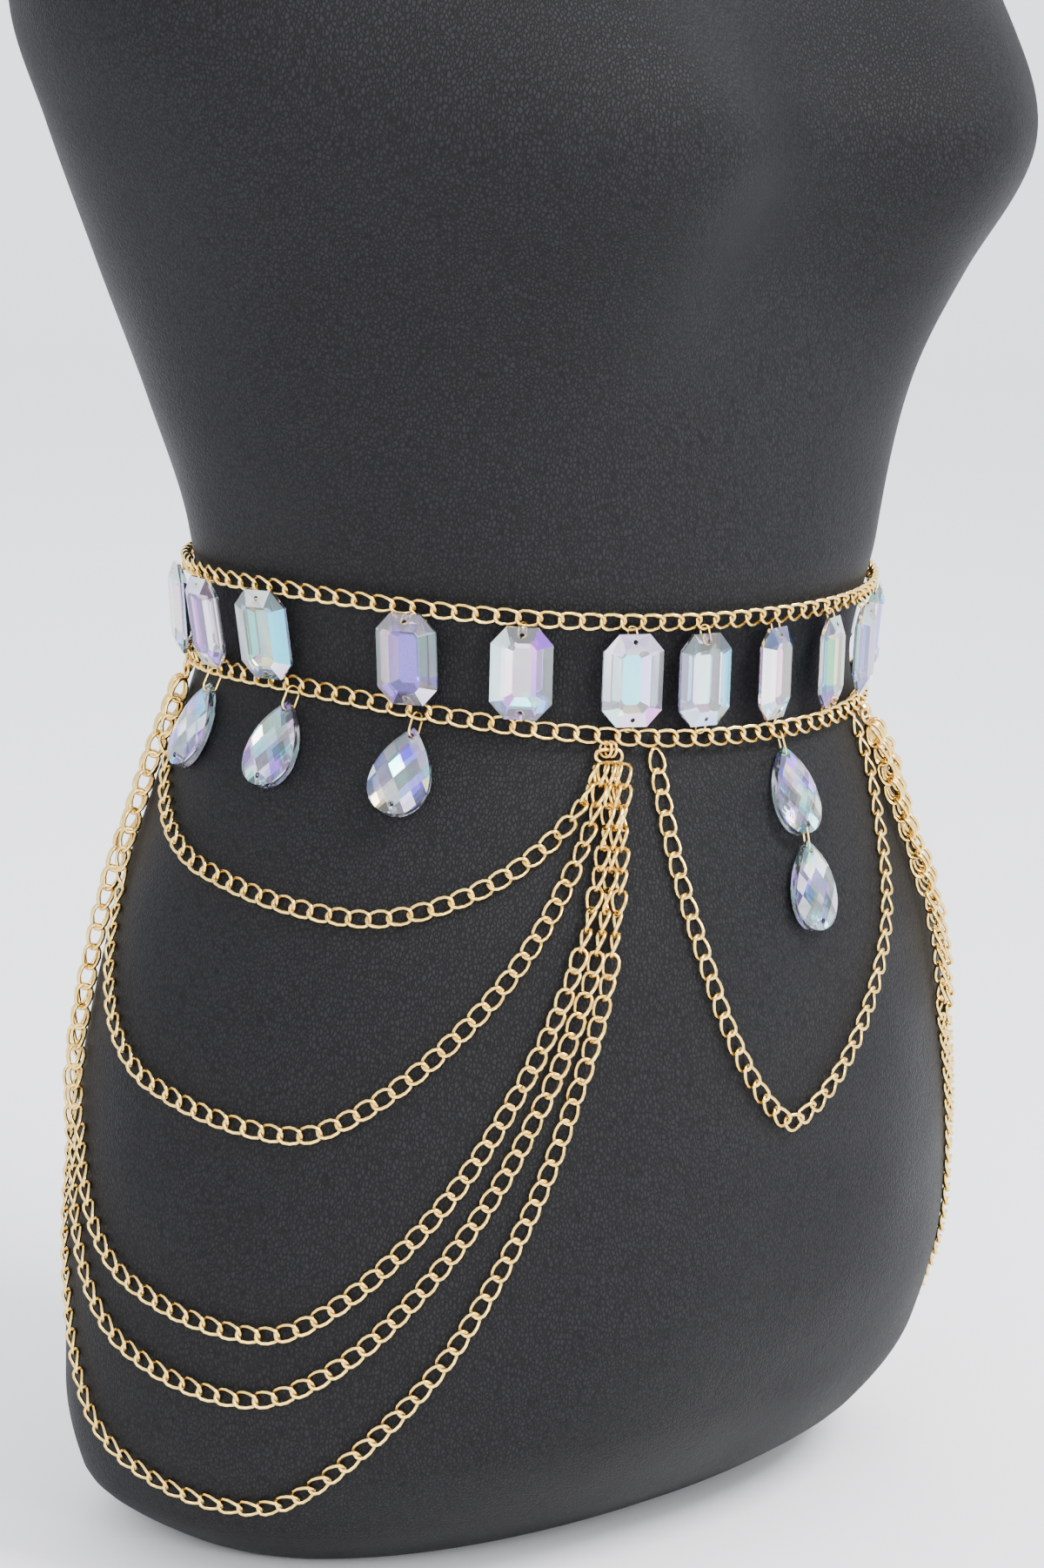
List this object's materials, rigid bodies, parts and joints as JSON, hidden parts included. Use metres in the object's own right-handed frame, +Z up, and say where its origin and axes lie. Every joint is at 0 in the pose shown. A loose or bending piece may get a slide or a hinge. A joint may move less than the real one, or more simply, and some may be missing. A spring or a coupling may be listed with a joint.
{
  "type": "chain belt on a dress form",
  "caption": "Waist belt of curb chains with cut stones, pear drops and looped hip chains, worn on a limbless dress form.",
  "frame": {"origin": "middle of the dress form's flat underside", "axes": "+Z up along the form, the form's front faces -Y, +X towards the form's left"},
  "size_m": [0.3738, 0.2642, 0.74],
  "materials": {
    "gold_chain": "bright gold-coloured plating",
    "crystal": "clear faceted acrylic crystal with an iridescent coating",
    "black_form": "fine leather-grain black cover, satin"
  },
  "bodies": {
    "root": {"dress_form": "black_form", "chain_upper": "gold_chain", "chain_lower": "gold_chain", "clasp_upper": "gold_chain", "clasp_lower": "gold_chain", "swag_front": "gold_chain", "swag_right_1": "gold_chain", "swag_right_2": "gold_chain", "swag_right_3": "gold_chain", "swag_right_4": "gold_chain", "swag_right_5": "gold_chain", "swag_left_1": "gold_chain", "swag_left_2": "gold_chain", "swag_left_3": "gold_chain", "swag_left_4": "gold_chain", "swag_left_5": "gold_chain", "gather_ring_right_front": "gold_chain", "gather_ring_right_back": "gold_chain", "gather_ring_left_front": "gold_chain", "gather_ring_left_back": "gold_chain", "stone_front": "crystal", "stone_right_1": "crystal", "stone_right_2": "crystal", "stone_right_3": "crystal", "stone_right_4": "crystal", "stone_right_5": "crystal", "stone_right_6": "crystal", "stone_right_7": "crystal", "stone_right_8": "crystal", "stone_left_1": "crystal", "stone_left_2": "crystal", "stone_left_3": "crystal", "stone_left_4": "crystal", "stone_left_5": "crystal", "stone_left_6": "crystal", "stone_left_7": "crystal", "stone_left_8": "crystal"},
    "drop_right_1": {"drop_right_1": "crystal", "drop_right_1_ring": "gold_chain"},
    "drop_left_1": {"drop_left_1": "crystal", "drop_left_1_ring": "gold_chain"},
    "drop_right_2": {"drop_right_2": "crystal", "drop_right_2_ring": "gold_chain"},
    "drop_left_2": {"drop_left_2": "crystal", "drop_left_2_ring": "gold_chain"},
    "drop_right_3": {"drop_right_3": "crystal", "drop_right_3_ring": "gold_chain"},
    "drop_left_3": {"drop_left_3": "crystal", "drop_left_3_ring": "gold_chain"},
    "drop_front_upper": {"drop_front_upper": "crystal", "drop_front_upper_ring": "gold_chain"},
    "drop_front_lower": {"drop_front_lower": "crystal", "drop_front_lower_ring": "gold_chain"}
  },
  "joints": [
    {"name": "drop_right_1_swing", "type": "hinge", "parent": "root", "child": "drop_right_1", "pos_m": [-0.09772, -0.05772, 0.27195], "axis": [-0.4192, 0.9022, 0.1016], "range_deg": [0, 75]},
    {"name": "drop_left_1_swing", "type": "hinge", "parent": "root", "child": "drop_left_1", "pos_m": [0.09772, -0.05772, 0.27195], "axis": [-0.4192, -0.9022, -0.1016], "range_deg": [0, 75]},
    {"name": "drop_right_2_swing", "type": "hinge", "parent": "root", "child": "drop_right_2", "pos_m": [-0.10839, -0.01401, 0.27542], "axis": [-0.0689, 0.9967, 0.043], "range_deg": [0, 75]},
    {"name": "drop_left_2_swing", "type": "hinge", "parent": "root", "child": "drop_left_2", "pos_m": [0.10839, -0.01401, 0.27542], "axis": [-0.0689, -0.9967, -0.043], "range_deg": [0, 75]},
    {"name": "drop_right_3_swing", "type": "hinge", "parent": "root", "child": "drop_right_3", "pos_m": [-0.10584, 0.02456, 0.27581], "axis": [0.2499, 0.9683, -0.0001], "range_deg": [0, 75]},
    {"name": "drop_left_3_swing", "type": "hinge", "parent": "root", "child": "drop_left_3", "pos_m": [0.10584, 0.02456, 0.27581], "axis": [0.2499, -0.9683, 0.0001], "range_deg": [0, 75]},
    {"name": "drop_front_upper_swing", "type": "hinge", "parent": "root", "child": "drop_front_upper", "pos_m": [0.00326, -0.11556, 0.26356], "axis": [-0.9998, -0.0204, -0.0037], "range_deg": [0, 75]},
    {"name": "drop_front_lower_swing", "type": "hinge", "parent": "drop_front_upper", "child": "drop_front_lower", "pos_m": [0.0036, -0.12679, 0.23566], "axis": [-0.9998, -0.0204, -0.0037], "range_deg": [0, 75]}
  ]
}
